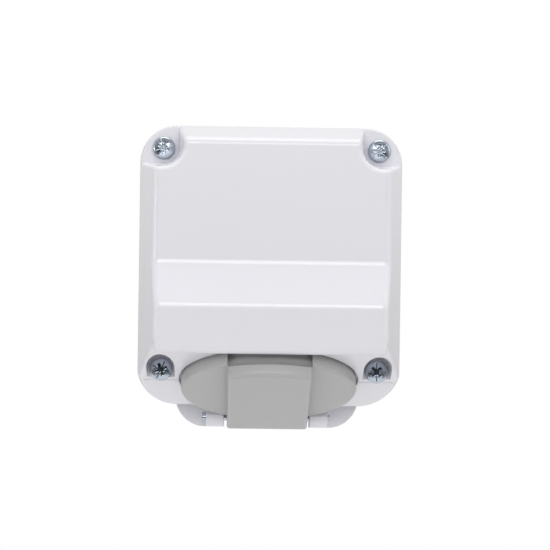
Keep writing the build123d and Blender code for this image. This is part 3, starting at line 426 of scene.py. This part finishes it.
spring_y = np.concatenate(
    [
        -SPRING_COIL_RADIUS * same,
        SPRING_COIL_RADIUS * np.cos(coil_turn),
        SPRING_LEG * (1 - stretch[::-1]),
    ]
)
spring_level = np.concatenate(
    [
        heel_length * (stretch - 1),
        SPRING_COIL_RADIUS * np.sin(coil_turn),
        SPRING_COIL_RADIUS * same,
    ]
)
radial = np.concatenate([pi * same, coil_turn, pi / 2 * same])
spring_radial = frame_points((0, 0, 0), np.zeros(len(radial)), np.cos(radial), np.sin(radial))
spring_path = frame_points(hinge_place, spring_x, spring_y, spring_level)
lid_spring = closed_tube(
    "lid_torsion_spring", wire_rings(spring_path, spring_radial, SPRING_WIRE_RADIUS), spring_steel
)
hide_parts("lid_spring")
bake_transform(lid_spring)

# Floor.
# A pale matt sheet lies well below the part, as the part is meant for a wall.
# It fades into the white room at its rim, and is clear from below.
FLOOR_LEVEL = -0.16
FLOOR_RADIUS = 0.40
FLOOR_FADE = 0.30
FLOOR_SIDES = 96
SHEET_PATCH = 0.05
SHEET_DARK = (0.86, 0.86, 0.86)
SHEET_PALE = (0.90, 0.90, 0.90)
SHEET_ROUGHNESS = 0.8
floor_turn = np.linspace(0, 2 * pi, FLOOR_SIDES, endpoint=False)
floor_rim = np.stack(
    [
        FLOOR_RADIUS * np.cos(floor_turn),
        FLOOR_RADIUS * np.sin(floor_turn),
        np.full(FLOOR_SIDES, FLOOR_LEVEL),
    ],
    axis=1,
)
floor_mesh = bpy.data.meshes.new("floor")
floor_mesh.from_pydata(floor_rim.tolist(), [], [list(range(FLOOR_SIDES))])
floor = bpy.data.objects.new("floor", floor_mesh)
bpy.context.scene.collection.objects.link(floor)
floor_finish, shade = finish_of("pale_floor")
sheet_colour = shade.noise(SHEET_PATCH).between(SHEET_DARK, SHEET_PALE)
sheet_sockets = {"Base Color": sheet_colour, "Roughness": SHEET_ROUGHNESS}
sheet = shade.node("ShaderNodeBsdfPrincipled", None, sheet_sockets)
spread = shade.node("ShaderNodeVectorMath", {"operation": "LENGTH"}, {0: shade.place()}, output="Value")
below = shade.node("ShaderNodeNewGeometry", output="Backfacing")
clear = (below + spread.step(FLOOR_FADE, FLOOR_RADIUS)).clamped()
gone = shade.node("ShaderNodeBsdfTransparent")
mixed = shade.node("ShaderNodeMixShader", None, {0: clear, 1: sheet, 2: gone})
shade.node("ShaderNodeOutputMaterial", None, {"Surface": mixed})
floor_mesh.materials.append(floor_finish)

# Studio light.
# A wide soft box stands over the camera and another hangs above. A small low one lights the left edge,
# and a broad weak one lights the right side.
# The room round them is white, but dark behind the camera, which gives bright metal something to show.


def soft_box(name, place, aim, width, height, power):
    """A rectangular lamp at a place, turned towards an aim."""
    lamp = bpy.data.lights.new(name, "AREA")
    lamp.shape = "RECTANGLE"
    lamp.size = width
    lamp.size_y = height
    lamp.energy = power
    holder = bpy.data.objects.new(name, lamp)
    bpy.context.scene.collection.objects.link(holder)
    holder.location = place
    holder.rotation_euler = (Vector(aim) - Vector(place)).to_track_quat("-Z", "Y").to_euler()


LIT_POINT = (0.0, -0.04, 0.0)
soft_box("front_box", (0.0, -1.10, 0.31), LIT_POINT, width=0.9, height=0.28, power=5.2)
soft_box("top_box", (0.0, -0.23, 1.08), LIT_POINT, width=0.9, height=0.5, power=4.3)
soft_box("left_box", (-0.93, -0.53, 0.0), LIT_POINT, width=0.22, height=0.16, power=1.0)
soft_box("right_box", (0.97, -0.49, 0.23), LIT_POINT, width=0.9, height=0.9, power=1.67)
ROOM_LEVEL = 0.78
BELOW_LEVEL = 0.48
DARK_START = 0.60
DARK_FULL = 0.95
HORIZON = 0.05
world = bpy.data.worlds.new("white_room")
bpy.context.scene.world = world
world.use_nodes = True
world.node_tree.nodes.clear()
room = Shade(world.node_tree)
seen = room.node("ShaderNodeLightPath", output="Is Camera Ray")
gaze = room.node("ShaderNodeTexCoord", output="Generated")
depthwise, upward = (room.node("ShaderNodeSeparateXYZ", None, {0: gaze}, output=axis) for axis in "YZ")
camera_side = (0 - depthwise).step(DARK_START, DARK_FULL)
above = upward.step(-HORIZON, HORIZON)
level = (BELOW_LEVEL + (ROOM_LEVEL - BELOW_LEVEL) * above) * (1 - camera_side)
backdrop = room.node(
    "ShaderNodeBackground", None, {"Color": (1, 1, 1, 1), "Strength": seen + (1 - seen) * level}
)
room.node("ShaderNodeOutputWorld", None, {"Surface": backdrop})

# Camera.
# A long lens straight in front of the part, turned a touch to the right and rolled as in the photograph.
# Its focal length is given in pixels of the square picture.
FOCAL_PIXELS = 2425.0
PICTURE_PIXELS = 550.0
SENSOR = 36.0
CAMERA_DISTANCE = 0.887
CAMERA_SIDE = 0.0025
CAMERA_HEIGHT = -0.0034
CAMERA_YAW = 1.15
CAMERA_ROLL = 0.8
lens = bpy.data.cameras.new("camera")
lens.sensor_width = SENSOR
lens.lens = FOCAL_PIXELS / PICTURE_PIXELS * SENSOR
camera = bpy.data.objects.new("camera", lens)
bpy.context.scene.collection.objects.link(camera)
camera.matrix_world = (
    Matrix.Rotation(radians(-CAMERA_YAW), 4, "Z")
    @ Matrix.Translation((CAMERA_SIDE, -CAMERA_DISTANCE, CAMERA_HEIGHT))
    @ Matrix.Rotation(pi / 2, 4, "X")
    @ Matrix.Rotation(radians(CAMERA_ROLL), 4, "Z")
)
bpy.context.scene.camera = camera
bpy.context.scene.view_settings.view_transform = "Standard"
